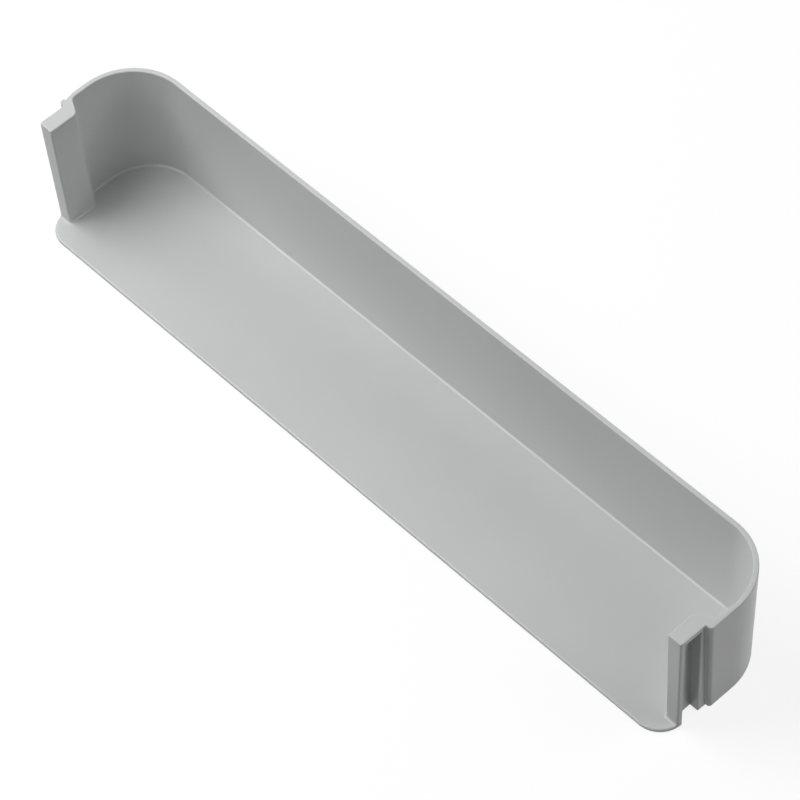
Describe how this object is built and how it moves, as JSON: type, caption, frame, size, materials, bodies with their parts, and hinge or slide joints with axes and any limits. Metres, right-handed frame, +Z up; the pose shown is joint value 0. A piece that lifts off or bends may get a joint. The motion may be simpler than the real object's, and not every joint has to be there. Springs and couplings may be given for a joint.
{
  "type": "fridge door shelf",
  "caption": "Moulded fridge door shelf with a flat floor, a tall front wall with rounded corners and a slotted hanging post at each end.",
  "frame": {"origin": "middle of the underside, halfway along the length and the depth", "axes": "+X along the length, to the right end as seen from the open side; +Y from the open edge of the floor to the front wall; +Z up from the underside to the rim"},
  "size_m": [0.47, 0.0808, 0.0748],
  "materials": {
    "moulded_plastic": "satin moulded surface, pale cool grey"
  },
  "bodies": {
    "root": {"door_shelf": "moulded_plastic"}
  },
  "joints": []
}
